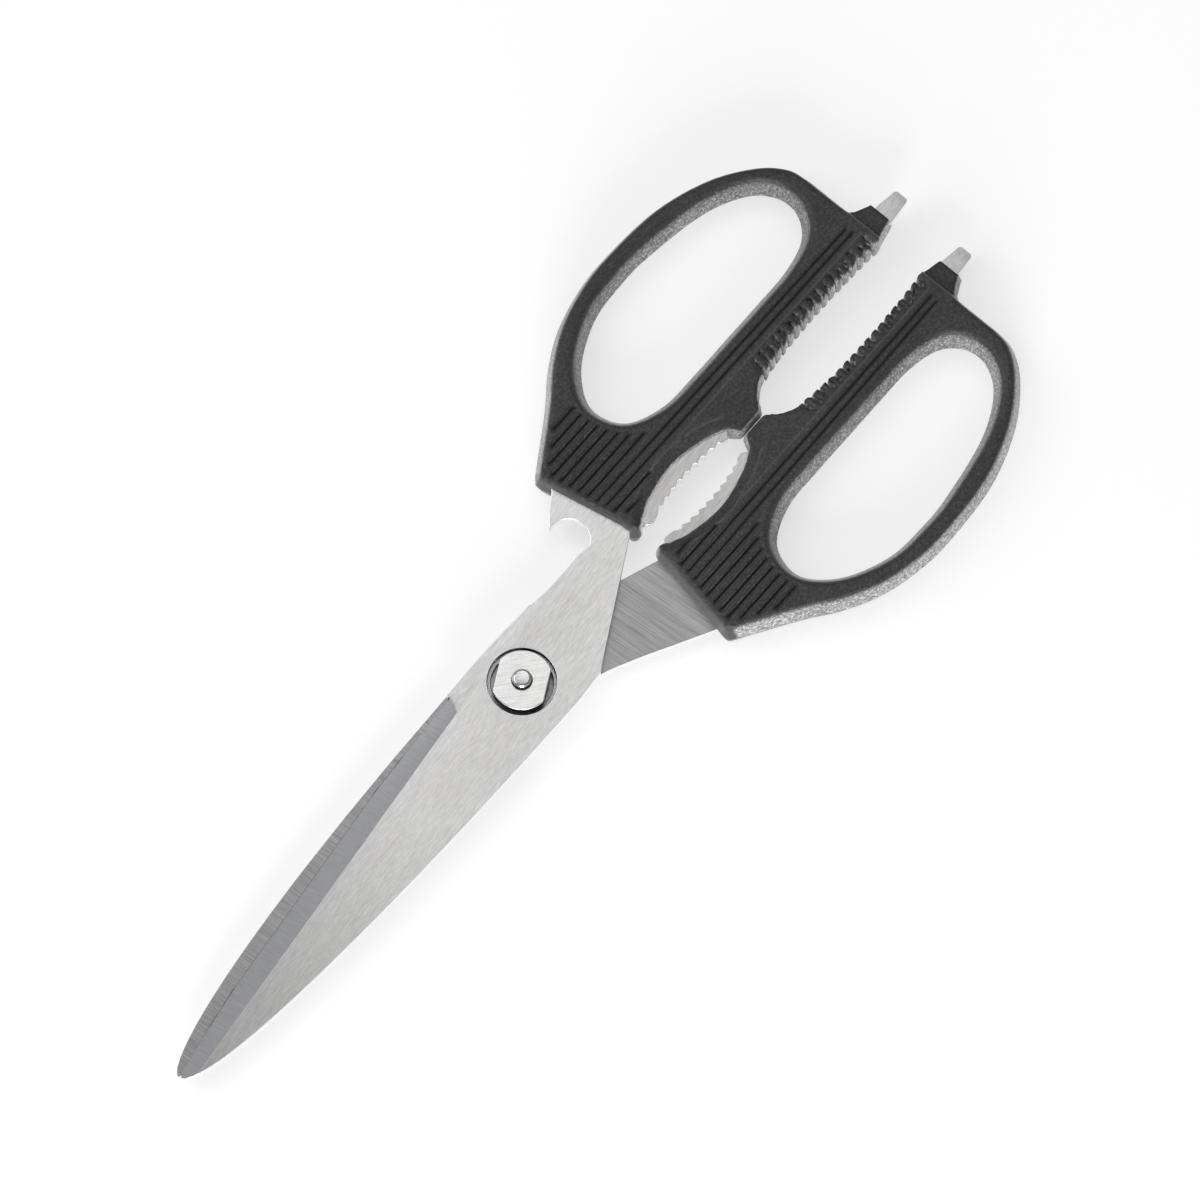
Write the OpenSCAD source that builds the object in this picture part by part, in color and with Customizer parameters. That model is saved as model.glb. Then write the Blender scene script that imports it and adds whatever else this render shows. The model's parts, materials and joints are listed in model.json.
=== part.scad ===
// Take-apart poultry shears, closed, lying flat.
// +X runs from the blade tips to the handles, +Y to the front half's loop, +Z up from the table.
// Every shape is drawn about the pivot in the plane where the two blades meet, then placed once.

/* [Overall] */
// Distance from the pivot to the blade tips
blade_reach = 112.4; // [95:1:140]
// Distance from the pivot to the end face of the grips
grip_reach = 123.4; // [116:0.1:150]
// Distance from the long axis to the outside of a finger loop, at the grip's flat face
grip_half_width = 46.8; // [40:0.1:56]
// Height of the grips
grip_height = 9.6; // [8.4:0.1:14]

/* [Blades] */
// Thickness of both blades and tangs
blade_t = 2.5; // [1.5:0.1:4]
// Clear gap between the two flat inner faces
blade_gap = 0.04; // [0.02:0.01:0.2]
// Distance of the front blade's blunt back from the long axis at the pivot
front_spine_y = 11.8; // [10:0.1:15]
// Distance of the rear blade's blunt back from the long axis at the pivot
rear_spine_y = 10.6; // [10:0.1:15]
// Distance of the cutting edge from the long axis at its heel
edge_y = 9.7; // [8:0.1:14]
// Distance of the unsharpened body edge from the long axis beside the pivot
body_y = 10.3; // [9:0.1:14]
// Distance of the front blade's tip from the long axis, on its blunt side
front_tip_y = 1.7; // [0:0.1:3]
// Distance of the rear blade's tip from the long axis, on its cutting side
rear_tip_y = 1; // [-1:0.1:2]
// Distance from the pivot to the heel of the cutting edge, towards the tip
heel_x = 12.5; // [11:0.1:30]
// Width of the ground bevel along the edge
bevel_w = 4.2; // [2:0.1:7]
// Thickness left at the cutting edge
edge_t = 0.35; // [0.1:0.05:1]
// Radius where the ground bevel runs out at the heel
bevel_r = 5; // [2:0.1:10]

/* [Bottle opener] */
// Distance from the pivot to the middle of the opener notch
notch_x = 30.3; // [28:0.1:32]
// Distance of the notch middle from the long axis
notch_y = 12.9; // [12:0.1:16]
// Radius of the opener notch
notch_r = 4.6; // [3:0.1:5]

/* [Pivot] */
// Clearance round the lock plate in the front blade's round recess
recess_gap = 0.8; // [0.4:0.1:2]
// Depth of the round recess
recess_depth = 1.2; // [0.8:0.1:1.6]
// Diameter of the lock plate over its round sides
plate_d = 13.2; // [11.8:0.1:15.2]
// Distance between the flats of the lock plate
plate_flats = 11; // [9:0.1:11.4]
// Height of the lock plate above the front blade
plate_proud = 1.2; // [0.4:0.1:2]
// Direction of the lock plate's flats from the long axis
plate_angle = 27.5; // [0:0.5:90]
// Opening angle at which plate and hole line up and the halves lift apart
release_angle = 95; // [60:1:120]
// Clearance between the bearing and the hole, and between the plate and its keyhole
bearing_gap = 0.05; // [0.02:0.01:0.1]
// Diameter of the rivet shank
rivet_d = 4.2; // [3:0.1:6]
// Height of the rivet's domed end above the lock plate
rivet_proud = 1.5; // [0.5:0.1:2.5]
// Diameter of the rivet head behind the rear blade
rivet_head_d = 8; // [6:0.1:12]
// Height of the rivet head behind the rear blade
rivet_head_h = 1.3; // [0.6:0.1:2.5]

/* [Grips] */
// Distance from the pivot to the grip's front corner beside the long axis
grip_front_x = 40.1; // [38:0.1:41.5]
// Distance from the pivot to the grip's front corner at the outside
grip_shoulder_x = 36; // [34:0.1:38]
// Distance of that outside corner from the long axis
grip_shoulder_y = 26.4; // [25:0.1:30]
// Outward swell of the grip from its flat faces to its parting line
swell = 1.3; // [0.1:0.1:2]
// Inward swell of the finger loop's wall from the flat faces to the parting line
loop_swell = 2; // [0.1:0.1:2.5]
// Gap left between the two stop nubs when closed
stop_gap = 0.08; // [0.02:0.01:0.3]
// Distance from the pivot to the middle of the stop nubs
nub_x = 75.1; // [73:0.1:77]
// Length of the flat stop face
nub_len = 6.4; // [4:0.1:8]

/* [Finger loop] */
// Distance from the pivot to the near end of the finger opening
loop_x0 = 53.9; // [52:0.1:58]
// Width of the grip beyond the far end of the finger opening
loop_end_w = 3.7; // [2:0.1:8]
// Distance of the opening's straight side from the long axis
loop_y0 = 14.9; // [14:0.1:18]
// Width of the rim outside the finger opening
rim_w = 3.2; // [2:0.1:6]

/* [Ribs and grooves] */
// Spacing of the grip ribs
rib_pitch = 2.15; // [1.8:0.05:3]
// Number of grooves between the ribs
rib_count = 12; // [6:1:12]
// Radius of each groove
groove_r = 0.6; // [0.3:0.05:0.8]
// Distance of the first groove from the long axis
rib_y0 = 7; // [6:0.1:9]
// Distance from the front face to the ends of the grooves
rib_margin = 1.4; // [1:0.1:4]

/* [Jar grip] */
// Spacing of the jar-grip teeth
tooth_pitch = 2.25; // [1.8:0.05:3]
// Width of a notch
tooth_gap = 0.9; // [0.4:0.1:1.2]
// Distance from the pivot to the first notch
tooth_x0 = 85.3; // [84:0.1:90]
// Distance of the notch bottoms from the long axis
tooth_root_y = 7.8; // [7:0.1:8.6]
// Distance of the sloping pad's upper edge from the long axis
pad_y = 8.8; // [8:0.1:9.5]
// Drop of the pad's slope at the long axis side
pad_drop = 1; // [0.2:0.1:2]

/* [Nutcracker jaws] */
// Distance from the pivot to the near end of a jaw
jaw_x0 = 43.2; // [42.5:0.1:45]
// Distance from the pivot to the far end of a jaw
jaw_x1 = 70.8; // [66:0.1:71]
// Distance of the toothed edge from the long axis at its deepest
jaw_y = 3.3; // [2.5:0.1:4.5]
// Distance of the grip's edge from the long axis at the middle of the jaw
jaw_cover_y = 6.75; // [5.5:0.05:7.5]
// Distance of the jaw's buried side from the long axis
jaw_root_y = 9.2; // [8.5:0.1:9.6]
// Spacing of the jaw teeth
jaw_pitch = 2.4; // [1.8:0.1:3]
// Depth of the notches between the jaw teeth
jaw_notch = 0.5; // [0.2:0.1:0.8]

/* [Tang] */
// Distance of the tang tail's inner side from the long axis
tail_y0 = 10.4; // [10:0.1:11]
// Distance of the tang tail's outer side from the long axis
tail_y1 = 13; // [12:0.1:13.2]
// Distance from the end of the tang tail to the end face of the grip
tail_end = 19.4; // [17:0.1:40]
// Distance from the pivot to the end of the wide tang
tang_x = 49.5; // [46:0.1:50]
// Diameter of the anchor holes in the wide tang
anchor_d = 5; // [3:0.1:6]

/* [Screwdriver tips] */
// Distance of the tip's middle from the long axis
driver_y = 8.9; // [8.5:0.1:9.5]
// Width of the tip where it leaves the boss
driver_w0 = 4.6; // [3:0.1:6]
// Width of the tip at its end
driver_w1 = 3.4; // [2:0.1:5]
// Thickness at the end of the tip
driver_end_t = 1; // [0.5:0.1:2]
// Length of the plastic boss beyond the grip's end face
boss_len = 5.4; // [3:0.1:9]
// Length of the bare tip beyond the boss
driver_len = 5.8; // [3:0.1:10]
// Width of the boss where it leaves the grip
boss_w0 = 8.7; // [7:0.1:10]
// Width of the boss at its end
boss_w1 = 6; // [5.4:0.1:7]
// Setback of the boss below the grip's flat faces
boss_step = 0.8; // [0.2:0.1:2]
// Length of the screwdriver tip's stem inside the boss and grip
driver_root = 16.8; // [10:0.1:17]

/* [Hidden] */
$fn = 64;
eps = 0.01;
half_t = grip_height / 2;
mid_z = half_t;
boss_x = grip_reach + boss_len;
driver_reach = boss_x + driver_len;
driver_root_x = boss_x - driver_root;
tail_x = grip_reach - tail_end;
loop_x1 = grip_reach - loop_end_w;
loop_y1 = grip_half_width - rim_w;
recess_d = plate_d + 2 * recess_gap;
tooth_count = floor((grip_reach - 1.5 - tooth_x0) / tooth_pitch) + 1;
pivot_x = (blade_reach - driver_reach) / 2;
blade_z0 = blade_gap / 2;
blade_z1 = blade_z0 + blade_t;
floor_z = blade_z1 - recess_depth;
boss_d = plate_flats + 2 * bearing_gap;
keyhole_flats = boss_d + 2 * bearing_gap;
keyhole_d = plate_d + 2 * bearing_gap;
plate_z0 = floor_z + bearing_gap;
plate_z1 = blade_z1 + plate_proud;
loop_mid = [(loop_x0 + loop_x1) / 2, (loop_y0 + loop_y1) / 2];
grip_mid = [grip_front_x + 8, 1.5];

// ---------------------------------------------------------------- helpers

// A point on the smooth curve from b to c, with a before and d after.
function blend(a, b, c, d, t) =
    0.5 * (2 * b + (c - a) * t + (2 * a - 5 * b + 4 * c - d) * t * t
           + (3 * b - a - 3 * c + d) * t * t * t);

// A smooth curve through the points p, with n steps between each pair.
function smooth(p, n = 4) = concat(
    [for (i = [0 : len(p) - 2]) for (j = [0 : n - 1])
        blend(p[max(i - 1, 0)], p[i], p[i + 1], p[min(i + 2, len(p) - 1)], j / n)],
    [p[len(p) - 1]]);

// Points on an arc about c.
function arc(c, r, a0, a1, n = 8) =
    [for (i = [0 : n]) c + r * [cos(a0 + (a1 - a0) * i / n), sin(a0 + (a1 - a0) * i / n)]];

// Places what is drawn about the pivot.
module placed() {
    translate([pivot_x, 0, mid_z]) children();
}

// Turns the front half's shape over into the rear half's.
module turned_over() {
    rotate([180, 0, 0]) children();
}

module double_d(d, flats) {
    intersection() {
        circle(d = d);
        square([2 * d, flats], center = true);
    }
}

// ---------------------------------------------------------------- blades

// Blunt back, from the tip to the pivot. side is its distance at the pivot; a lower blunt is blunter.
function spine_at(u, tip, side, blunt) = tip - (side + tip) * pow(1 - pow(1 - u, 2.2), blunt);
function spine(tip, side, blunt) =
    [for (i = [0 : 22]) let (u = pow(i / 22, 1.8))
        [-blade_reach + (blade_reach + 5) * u, spine_at(u, tip, side, blunt)]];

// Cutting edge, from the heel to the tip.
function edge_at(u, tip) = tip + (edge_y - tip) * pow(1 - pow(1 - u, 1.8), 0.83);
function edge(tip) =
    [for (i = [22 : -1 : 1]) let (u = pow(i / 22, 1.8) * (1 - heel_x / blade_reach))
        [-blade_reach + blade_reach * u, edge_at(u, tip)]];

// Where the tang crosses the grip's front face, beside the long axis.
tang_in = [40.4, 4.2];

// The wide tang and its tail, buried in the grip, seen from the inner edge round to the outer edge.
buried = concat(
    [tang_in + [1.2, 0.6]],
    [[tang_in[0] + 1.2, tail_y0 - 1]],
    [[tang_in[0] + 2.2, tail_y0]],
    [[tail_x - 1.3, tail_y0]],
    arc([tail_x - 1.3, (tail_y0 + tail_y1) / 2], (tail_y1 - tail_y0) / 2, -60, 60, 6),
    [[tail_x - 1.3, tail_y1]],
    [[tang_x + 2, tail_y1]],
    arc([tang_x + 2, tail_y1 + 2], 2, -100, -170, 4),
    arc([tang_x - 2, 23.5], 2, 0, 90, 5));

// The bottle-opener hook, from the grip down to its point and round the notch.
hook = concat(
    [[37.5, 24]],
    smooth([[36, 22.4], [33.6, 20.9], [31.3, 19.2], [notch_x - 1.2, notch_y + notch_r - 0.4]], 3),
    arc([notch_x, notch_y], notch_r, 96, -68, 16),
    smooth([[notch_x - 1.5, 9.1], [20, 9], [13, 9.7], [5, body_y - 0.1], [-3, body_y]], 4));

front_outline = concat(spine(-front_tip_y, front_spine_y, 0.46), [[12.3, 0.6 - front_spine_y]], [tang_in], buried,
                       hook, [[-heel_x, body_y - 0.2]], edge(-front_tip_y));

// The rear tang's outer side is a plain shallow curve into the grip.
rear_side = concat(
    [[37.5, 24]],
    smooth([[35.1, 22.8], [27, 18.4], [20.6, 14.9], [12, 10.9], [5, body_y], [-3, body_y]], 4));

rear_outline = concat(spine(rear_tip_y, rear_spine_y, 0.56), [[14.6, 0.3 - rear_spine_y]], [[30.6, 0.6]], [tang_in],
                      buried, rear_side, [[-heel_x, body_y - 0.2]], edge(rear_tip_y));

// The ground bevel slopes down from the outer face to the edge, and runs out in a round at the heel.
bevel_tilt = atan2(blade_t - edge_t, bevel_w);

module bevel_cut(tip) {
    dir = atan2(edge_at(0.78, tip) - edge_at(0.1, tip), (0.78 - 0.1) * blade_reach);
    intersection() {
        translate([-blade_reach * 0.9, edge_at(0.1, tip), blade_z0 + edge_t])
            rotate([0, 0, dir])
                rotate([-bevel_tilt, 0, 0])
                    translate([-40, -20, 0])
                        cube([blade_reach + 60, 40, 10]);
        translate([0, 0, -5])
            linear_extrude(height = 20)
                union() {
                    translate([-blade_reach - 10, -20])
                        square([blade_reach + 10 - heel_x - bevel_r, 40]);
                    translate([-heel_x - bevel_r, edge_y])
                        circle(r = bevel_r);
                }
    }
}

module anchor_holes() {
    for (y = [tail_y1 + 4, tail_y1 + 9.3])
        translate([(tang_in[0] + tang_x) / 2, y]) circle(d = anchor_d);
}

module tang_shape(outline) {
    difference() {
        polygon(outline);
        anchor_holes();
    }
}

module blade_plate(outline, tip) {
    difference() {
        translate([0, 0, blade_z0])
            linear_extrude(height = blade_t)
                tang_shape(outline);
        bevel_cut(tip);
    }
}

module front_blade_shape() {
    difference() {
        blade_plate(front_outline, -front_tip_y);
        translate([0, 0, floor_z]) cylinder(d = recess_d, h = recess_depth + 1);
        translate([0, 0, -1])
            linear_extrude(height = blade_t + 2)
                rotate(plate_angle - release_angle)
                    double_d(keyhole_d, keyhole_flats);
    }
}

module rear_blade_shape() {
    turned_over()
        difference() {
            blade_plate(rear_outline, rear_tip_y);
            translate([0, 0, -1]) cylinder(d = rivet_d, h = blade_t + 2);
        }
}

module front_blade() {
    color([0.80, 0.80, 0.81]) placed() front_blade_shape();
}

module rear_blade() {
    color([0.72, 0.72, 0.74]) placed() rear_blade_shape();
}

// ---------------------------------------------------------------- nutcracker jaws

jaw_mid = (jaw_x0 + jaw_x1) / 2;

// Distance of the toothed edge from the long axis, along the jaw.
function jaw_edge(x) = jaw_y - 2 * pow((x - jaw_mid) / (jaw_x1 - jaw_x0) * 2, 2);

jaw_outline = concat(
    arc([jaw_x0 + 1.6, jaw_edge(jaw_x0 + 1.6) + 1.6], 1.6, 180, 270, 5),
    [for (i = [1 : 11]) let (x = jaw_x0 + 1.6 + (jaw_x1 - jaw_x0 - 3.2) * i / 12) [x, jaw_edge(x)]],
    [[jaw_x1 - 1.6, jaw_edge(jaw_x1 - 1.6)]],
    [[jaw_x1, jaw_edge(jaw_x1 - 1.6) + 1.6]],
    [[jaw_x1, 6]],
    [[jaw_x1 - 3, jaw_root_y]],
    [[jaw_x0 + 4, jaw_root_y]],
    [[jaw_x0, 5.4]]);

jaw_teeth = floor((jaw_x1 - jaw_x0 - 5) / jaw_pitch);

module jaw_shape() {
    difference() {
        polygon(jaw_outline);
        for (i = [0 : jaw_teeth]) {
            x = jaw_mid + (i - jaw_teeth / 2) * jaw_pitch;
            translate([x, jaw_edge(x) - 0.1]) rotate(-90) circle(r = jaw_notch + 0.3, $fn = 3);
        }
    }
}

module jaw() {
    translate([0, 0, blade_z0])
        linear_extrude(height = blade_t)
            jaw_shape();
}

module front_jaw() {
    color([0.84, 0.84, 0.85]) placed() jaw();
}

module rear_jaw() {
    color([0.84, 0.84, 0.85]) placed() turned_over() jaw();
}

// ---------------------------------------------------------------- screwdriver tips

driver_outline = [
    [driver_root_x, driver_y - 2.2],
    [boss_x, driver_y - driver_w0 / 2],
    [driver_reach - 0.4, driver_y - driver_w1 / 2],
    [driver_reach, driver_y - driver_w1 / 2 + 0.4],
    [driver_reach, driver_y + driver_w1 / 2 - 0.4],
    [driver_reach - 0.4, driver_y + driver_w1 / 2],
    [boss_x, driver_y + driver_w0 / 2],
    [driver_root_x, driver_y + 0.6]];

driver_mid_z = (blade_z0 + blade_z1) / 2;

// Side view: full thickness inside the boss, thinning evenly to the end of the tip.
driver_side = [
    [driver_root_x - 1, blade_z0],
    [boss_x + 0.8, blade_z0],
    [driver_reach + 0.5, driver_mid_z - driver_end_t / 2],
    [driver_reach + 0.5, driver_mid_z + driver_end_t / 2],
    [boss_x + 0.8, blade_z1],
    [driver_root_x - 1, blade_z1]];

module driver() {
    intersection() {
        linear_extrude(height = blade_z1 + 1) polygon(driver_outline);
        translate([0, 20, 0]) rotate([90, 0, 0]) linear_extrude(height = 40) polygon(driver_side);
    }
}

module front_driver() {
    color([0.82, 0.82, 0.83]) placed() driver();
}

module rear_driver() {
    color([0.82, 0.82, 0.83]) placed() turned_over() driver();
}

// ---------------------------------------------------------------- grips

// Outer side of the grip, from the front shoulder round to the end face.
grip_back = smooth([
    [grip_shoulder_x, grip_shoulder_y],
    [49, 0.738 * grip_half_width],
    [56, 0.846 * grip_half_width],
    [64, 0.935 * grip_half_width],
    [73, 0.985 * grip_half_width],
    [82, grip_half_width],
    [grip_reach - 26.5, 0.976 * grip_half_width],
    [grip_reach - 14.1, 0.889 * grip_half_width],
    [grip_reach - 5.3, 0.763 * grip_half_width],
    [grip_reach - 1, 0.645 * grip_half_width],
    [grip_reach, 0.54 * grip_half_width]], 4);

// Inner side beside the long axis: jar grip, then the root of the stop nub, then the jaw recess.
jar_edge = smooth([
    [grip_reach, 5.4], [grip_reach - 2, 5.7], [grip_reach - 11, 6.1], [grip_reach - 19, 6.3],
    [grip_reach - 28, 6.1], [88, 5.4], [83.5, 4.5], [nub_x + 5.3, 2.6], [nub_x + 4.6, 1.6]], 3);
jaw_cover = smooth([
    [nub_x - 4.7, 2.9], [65.5, 5.1], [jaw_mid, jaw_cover_y], [48.5, 5.6], [jaw_x0 + 0.4, 3.7]], 4);
front_corner = arc([grip_front_x + 2, 4.2], 2, 270, 172, 5);

grip_outline = concat(grip_back, jar_edge, [[nub_x - 4.2, 1.6]], jaw_cover,
                      [[jaw_x0 - 0.6, 2.2]], front_corner);

loop_w = loop_x1 - loop_x0;
loop_h = loop_y1 - loop_y0;

// Finger opening at the flat faces: one straight side, a blunt near end and a rounder far end.
loop_outline = smooth([
    [loop_x0 + 0.50 * loop_w, loop_y0 - 0.1],
    [loop_x0 + 0.66 * loop_w, loop_y0 - 0.1],
    [loop_x0 + 0.81 * loop_w, loop_y0 + 0.1],
    [loop_x0 + 0.93 * loop_w, loop_y0 + 0.08 * loop_h],
    [loop_x0 + 0.993 * loop_w, loop_y0 + 0.26 * loop_h],
    [loop_x0 + 0.995 * loop_w, loop_y0 + 0.48 * loop_h],
    [loop_x0 + 0.93 * loop_w, loop_y0 + 0.70 * loop_h],
    [loop_x0 + 0.78 * loop_w, loop_y0 + 0.88 * loop_h],
    [loop_x0 + 0.545 * loop_w, loop_y0 + 0.985 * loop_h],
    [loop_x0 + 0.41 * loop_w, loop_y0 + 1.0 * loop_h],
    [loop_x0 + 0.26 * loop_w, loop_y0 + 0.965 * loop_h],
    [loop_x0 + 0.11 * loop_w, loop_y0 + 0.80 * loop_h],
    [loop_x0 + 0.02 * loop_w, loop_y0 + 0.57 * loop_h],
    [loop_x0 + 0.004 * loop_w, loop_y0 + 0.36 * loop_h],
    [loop_x0 + 0.05 * loop_w, loop_y0 + 0.14 * loop_h],
    [loop_x0 + 0.175 * loop_w, loop_y0 + 0.3],
    [loop_x0 + 0.33 * loop_w, loop_y0 - 0.1],
    [loop_x0 + 0.50 * loop_w, loop_y0 - 0.1]], 4);

// One half of a drafted solid above the parting line. grow is the scale at the parting line.
module drafted_half(mid, grow) {
    translate([mid[0], mid[1], 0])
        linear_extrude(height = half_t, scale = [1 / grow[0], 1 / grow[1]], slices = 1)
            scale(grow)
                translate(-mid)
                    children();
}

module drafted(mid, grow) {
    drafted_half(mid, grow) children();
    mirror([0, 0, 1]) drafted_half(mid, grow) children();
}

grip_grow = [1 + swell / (grip_reach - grip_mid[0]), 1 + swell / (grip_half_width - grip_mid[1])];
loop_grow = [1 - 2 * loop_swell / loop_w, 1 - 2 * loop_swell / loop_h];

module grip_body() {
    difference() {
        drafted(grip_mid, grip_grow) polygon(grip_outline);
        drafted(loop_mid, loop_grow) polygon(loop_outline);
    }
}

module stop_nub() {
    translate([0, 0, -half_t])
        linear_extrude(height = grip_height)
            polygon([
                [nub_x - nub_len / 2, stop_gap / 2],
                [nub_x + nub_len / 2, stop_gap / 2],
                [nub_x + nub_len / 2 + 1.6, 2.2],
                [nub_x + 5.3, 6],
                [nub_x - 4.7, 6],
                [nub_x - nub_len / 2 - 1.2, 2.2]]);
}

// The plastic boss round the screwdriver tip.
module tip_boss() {
    translate([0, 0, -half_t + boss_step])
        linear_extrude(height = grip_height - 2 * boss_step)
            polygon([
                [grip_reach - 2, 10 - boss_w0 / 2],
                [grip_reach + 1.5, 10 - boss_w0 / 2],
                [boss_x - 1, 9.5 - boss_w1 / 2 - 0.2],
                [boss_x, 9.5 - boss_w1 / 2 + 0.8],
                [boss_x, 9.5 + boss_w1 / 2 - 0.4],
                [boss_x - 0.8, 9.5 + boss_w1 / 2 + 0.4],
                [grip_reach + 1, 10 + boss_w0 / 2],
                [grip_reach - 2, 10 + boss_w0 / 2]]);
}

// A half-round groove in the flat face, between two points.
module groove(x0, y0, x1, y1) {
    len = norm([x1 - x0, y1 - y0]);
    translate([x0, y0, half_t])
        rotate([0, 0, atan2(y1 - y0, x1 - x0)])
            rotate([0, 90, 0])
                cylinder(r = groove_r, h = len, $fn = 16);
}

front_slope = (grip_front_x - grip_shoulder_x) / (grip_shoulder_y - 3.4);

// Where a groove starts behind the front face, at distance y from the long axis.
function groove_x0(y) = max(grip_front_x - front_slope * (y - 3.4) + rib_margin,
                            grip_shoulder_x + rib_margin + 1.5 + (y - grip_shoulder_y + 0.6) * 1.43);

// Where a groove ends before the finger opening.
function groove_x1(y) = y < loop_y0 + 2 ? 59 : loop_x0 - 0.8 + 3.4 * pow(abs(y - loop_y0 - 0.45 * loop_h) / 10, 2);

module rib_grooves() {
    for (i = [0 : rib_count - 1]) {
        y = rib_y0 + i * rib_pitch;
        if (i == 0) groove(groove_x0(y) + 1, y, 47.5, y);
        if (i == 1) groove(groove_x0(y), y, 53, y);
        if (i == 2) groove(groove_x0(y), y, grip_reach - 1.5, tail_y0 + 0.3);
        if (i == 3) groove(groove_x0(y), y, grip_reach - 2.2, tail_y0 + 2);
        if (i > 3) groove(groove_x0(y), y, groove_x1(y), y);
    }
}

module jar_notches() {
    for (i = [0 : tooth_count - 1])
        translate([tooth_x0 + i * tooth_pitch, 0, -half_t - 1])
            linear_extrude(height = grip_height + 2)
                union() {
                    translate([-tooth_gap / 2, 2]) square([tooth_gap, tooth_root_y - 2]);
                    translate([0, tooth_root_y]) circle(d = tooth_gap, $fn = 16);
                }
}

// The pad behind the teeth slopes down towards the long axis.
module pad_slope() {
    translate([82, 0, 0])
        rotate([90, 0, 90])
            linear_extrude(height = grip_reach - 82.2)
                polygon([[pad_y, half_t], [pad_y, half_t + 1], [0, half_t + 1], [4, half_t - pad_drop]]);
}

module face_details() {
    rib_grooves();
    pad_slope();
}

module grip_pockets(outline) {
    translate([0, 0, blade_z0]) linear_extrude(height = blade_t) tang_shape(outline);
    jaw();
    driver();
}

module grip(outline) {
    difference() {
        union() {
            grip_body();
            stop_nub();
            tip_boss();
        }
        face_details();
        mirror([0, 0, 1]) face_details();
        jar_notches();
        grip_pockets(outline);
    }
}

module front_handle() {
    color([0.13, 0.13, 0.14]) placed() grip(front_outline);
}

module rear_handle() {
    color([0.13, 0.13, 0.14]) placed() turned_over() grip(rear_outline);
}

// ---------------------------------------------------------------- pivot

module pivot_boss() {
    color([0.66, 0.66, 0.68]) placed()
        difference() {
            translate([0, 0, -blade_z0]) cylinder(d = boss_d, h = plate_z0 + blade_z0);
            translate([0, 0, -1]) cylinder(d = rivet_d, h = blade_t + 2);
        }
}

module pivot_lock_plate() {
    color([0.86, 0.86, 0.87]) placed()
        difference() {
            translate([0, 0, plate_z0])
                linear_extrude(height = plate_z1 - plate_z0)
                    rotate(plate_angle)
                        double_d(plate_d, plate_flats);
            translate([0, 0, -1]) cylinder(d = rivet_d, h = plate_z1 + 2);
        }
}

// Rivet: shank, domed upper end and the head closed behind the rear blade, as one turned profile.
rivet_profile = concat(
    [[0, -blade_z1 - rivet_head_h]],
    arc([rivet_head_d / 2 - rivet_head_h, -blade_z1], rivet_head_h, -90, 0, 8),
    [[rivet_d / 2, -blade_z1]],
    [[rivet_d / 2, plate_z1 + rivet_proud - 0.7]],
    arc([rivet_d / 2 - 0.7, plate_z1 + rivet_proud - 0.7], 0.7, 0, 90, 6),
    [[0, plate_z1 + rivet_proud]]);

module pivot_rivet() {
    color([0.80, 0.80, 0.82]) placed() rotate_extrude() polygon(rivet_profile);
}

// ---------------------------------------------------------------- nodes

front_blade();
rear_blade();
front_handle();
rear_handle();
front_jaw();
rear_jaw();
front_driver();
rear_driver();
pivot_boss();
pivot_lock_plate();
pivot_rivet();
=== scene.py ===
import json
import math
import bpy
import bmesh
import numpy as np
from mathutils import Matrix, Vector
from mathutils.geometry import delaunay_2d_cdt


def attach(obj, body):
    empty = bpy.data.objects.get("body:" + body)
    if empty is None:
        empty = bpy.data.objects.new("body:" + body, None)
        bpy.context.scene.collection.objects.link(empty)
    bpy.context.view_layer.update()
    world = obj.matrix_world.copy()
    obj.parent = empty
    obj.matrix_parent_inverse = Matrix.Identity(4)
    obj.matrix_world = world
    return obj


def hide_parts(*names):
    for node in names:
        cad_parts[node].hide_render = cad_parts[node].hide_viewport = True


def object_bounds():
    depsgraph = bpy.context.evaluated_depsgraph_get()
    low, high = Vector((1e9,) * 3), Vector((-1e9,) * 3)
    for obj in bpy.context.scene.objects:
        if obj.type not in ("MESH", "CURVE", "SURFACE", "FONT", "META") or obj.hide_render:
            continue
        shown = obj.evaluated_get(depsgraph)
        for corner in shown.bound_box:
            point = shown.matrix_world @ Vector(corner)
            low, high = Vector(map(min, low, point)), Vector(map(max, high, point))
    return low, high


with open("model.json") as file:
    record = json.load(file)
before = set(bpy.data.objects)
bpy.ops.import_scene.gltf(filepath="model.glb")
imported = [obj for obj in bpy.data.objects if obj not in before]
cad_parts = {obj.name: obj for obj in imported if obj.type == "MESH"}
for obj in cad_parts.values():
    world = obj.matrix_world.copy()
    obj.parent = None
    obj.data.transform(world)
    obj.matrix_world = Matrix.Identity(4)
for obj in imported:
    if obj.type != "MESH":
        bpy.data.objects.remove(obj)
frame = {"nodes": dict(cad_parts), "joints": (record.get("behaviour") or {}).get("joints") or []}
cad_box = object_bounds()

# Shapes are drawn in millimetres about the pivot, as in the part's source, and placed once.
MM = 0.001
PIVOT = Vector(frame["joints"][0]["pos_m"])
FRONT = Matrix.Translation(PIVOT) @ Matrix.Scale(MM, 4)
REAR = Matrix.Translation(PIVOT) @ Matrix.Rotation(math.pi, 4, "X") @ Matrix.Scale(MM, 4)

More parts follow.
